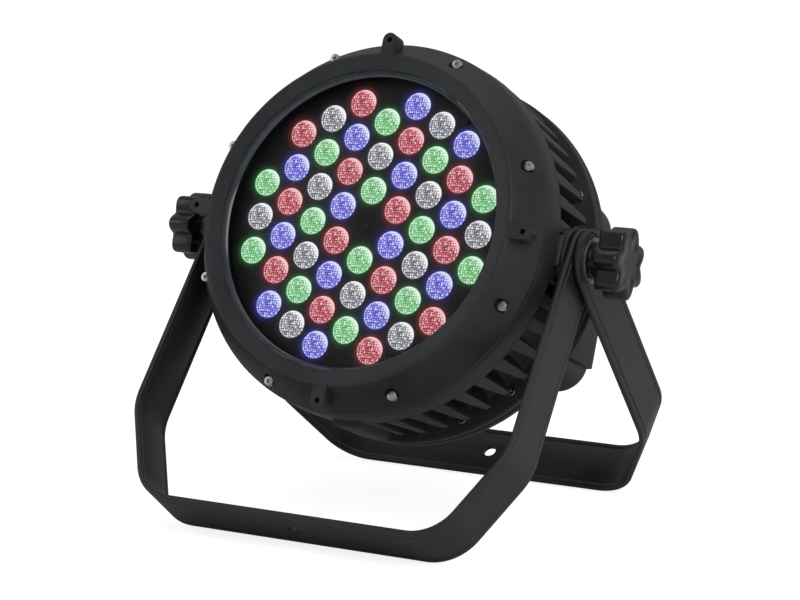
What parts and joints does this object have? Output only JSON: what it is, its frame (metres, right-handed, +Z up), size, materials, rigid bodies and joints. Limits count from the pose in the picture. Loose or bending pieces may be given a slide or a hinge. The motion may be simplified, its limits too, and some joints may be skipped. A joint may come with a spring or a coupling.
{
  "type": "par can light",
  "caption": "Round die-cast LED par light with finned body, glazed front ring and colour lenses, on two U-shaped yokes that fold out as a floor stand, clamped by star knobs.",
  "frame": {"origin": "on the floor, in the middle of the footprint under the light", "axes": "+Z up, the beam points to -Y and up, +X is the right side for someone facing the light"},
  "size_m": [0.3608, 0.3312, 0.3427],
  "materials": {
    "cast_black": "satin black powder coat on die-cast aluminium, fine texture",
    "strap_black": "satin black powder coat on flat steel strap",
    "knob_plastic": "moulded black plastic, semi-gloss",
    "stainless": "stainless steel",
    "zinc_steel": "zinc-plated steel",
    "seal_rubber": "matt silicone rubber",
    "key_rubber": "matt moulded rubber",
    "clear_glass": "clear tempered glass",
    "window_smoke": "smoked clear window",
    "lens_clear": "clear moulded lens with pebbled face",
    "mask_black": "satin black sheet",
    "board_white": "white solder mask",
    "board_green": "green solder mask",
    "gland_nylon": "black nylon"
  },
  "bodies": {
    "rear_yoke_stand": {"rear_yoke": "strap_black", "ear_washer_left": "stainless", "ear_washer_right": "stainless"},
    "front_yoke_stand": {"front_yoke": "strap_black"},
    "head": {"front_bezel": "cast_black", "front_glass": "clear_glass", "glass_gasket": "seal_rubber", "housing_gasket": "seal_rubber", "lens_mask_plate": "mask_black", "lens_array": "lens_clear", "led_board": "board_white", "main_housing": "cast_black", "rear_gasket": "seal_rubber", "rear_shell": "cast_black", "power_supply": "zinc_steel", "control_board": "board_green", "display_window": "window_smoke", "power_in_gland": "gland_nylon", "power_out_gland": "gland_nylon", "breather_vent": "gland_nylon", "safety_eye": "zinc_steel", "boss_washer_left": "stainless", "boss_washer_right": "stainless", "bezel_screw_1": "stainless", "bezel_screw_2": "stainless", "bezel_screw_3": "stainless", "bezel_screw_4": "stainless", "bezel_screw_5": "stainless", "bezel_screw_6": "stainless", "bezel_screw_7": "stainless", "bezel_screw_8": "stainless", "rim_screw_1": "stainless", "rim_screw_2": "stainless", "rim_screw_3": "stainless", "rim_screw_4": "stainless", "rim_screw_5": "stainless", "rim_screw_6": "stainless", "rim_screw_7": "stainless", "rim_screw_8": "stainless", "rim_screw_9": "stainless", "mask_screw_1": "stainless", "mask_screw_2": "stainless", "mask_screw_3": "stainless", "mask_screw_4": "stainless"},
    "clamp_left": {"clamp_washer_left": "stainless"},
    "star_knob_left": {"knob_left": "knob_plastic", "knob_stud_left": "stainless"},
    "clamp_right": {"clamp_washer_right": "stainless"},
    "star_knob_right": {"knob_right": "knob_plastic", "knob_stud_right": "stainless"},
    "menu_key": {"menu_button": "key_rubber"},
    "down_key": {"down_button": "key_rubber"},
    "up_key": {"up_button": "key_rubber"},
    "enter_key": {"enter_button": "key_rubber"}
  },
  "joints": [
    {"name": "head_tilt", "type": "hinge", "parent": "rear_yoke_stand", "child": "head", "pos_m": [0, -0.01161, 0.19371], "axis": [1, 0, 0], "range_deg": [-110, 110]},
    {"name": "yoke_spread", "type": "hinge", "parent": "rear_yoke_stand", "child": "front_yoke_stand", "pos_m": [0, -0.01161, 0.19371], "axis": [1, 0, 0], "range_deg": [-90, 77]},
    {"name": "knob_left_travel", "type": "slide", "parent": "rear_yoke_stand", "child": "clamp_left", "axis": [-1, 0, 0], "range_m": [0, 0.0025]},
    {"name": "knob_left_turn", "type": "hinge", "parent": "clamp_left", "child": "star_knob_left", "pos_m": [-0.17, -0.01161, 0.19371], "axis": [-1, 0, 0], "range_deg": [0, 720]},
    {"name": "knob_right_travel", "type": "slide", "parent": "rear_yoke_stand", "child": "clamp_right", "axis": [1, 0, 0], "range_m": [0, 0.0025]},
    {"name": "knob_right_turn", "type": "hinge", "parent": "clamp_right", "child": "star_knob_right", "pos_m": [0.17, -0.01161, 0.19371], "axis": [1, 0, 0], "range_deg": [0, 720]},
    {"name": "menu_press", "type": "slide", "parent": "head", "child": "menu_key", "axis": [0, -0.9339, 0.3576], "range_m": [0, 0.001], "stiffness_N_per_m": 700, "springref_m": -0.0005},
    {"name": "down_press", "type": "slide", "parent": "head", "child": "down_key", "axis": [0, -0.9339, 0.3576], "range_m": [0, 0.001], "stiffness_N_per_m": 700, "springref_m": -0.0005},
    {"name": "up_press", "type": "slide", "parent": "head", "child": "up_key", "axis": [0, -0.9339, 0.3576], "range_m": [0, 0.001], "stiffness_N_per_m": 700, "springref_m": -0.0005},
    {"name": "enter_press", "type": "slide", "parent": "head", "child": "enter_key", "axis": [0, -0.9339, 0.3576], "range_m": [0, 0.001], "stiffness_N_per_m": 700, "springref_m": -0.0005}
  ],
  "couplings": [
    {"joint": "knob_left_travel", "follows": "knob_left_turn", "m_per_rad": 0.00019894},
    {"joint": "knob_right_travel", "follows": "knob_right_turn", "m_per_rad": 0.00019894}
  ]
}
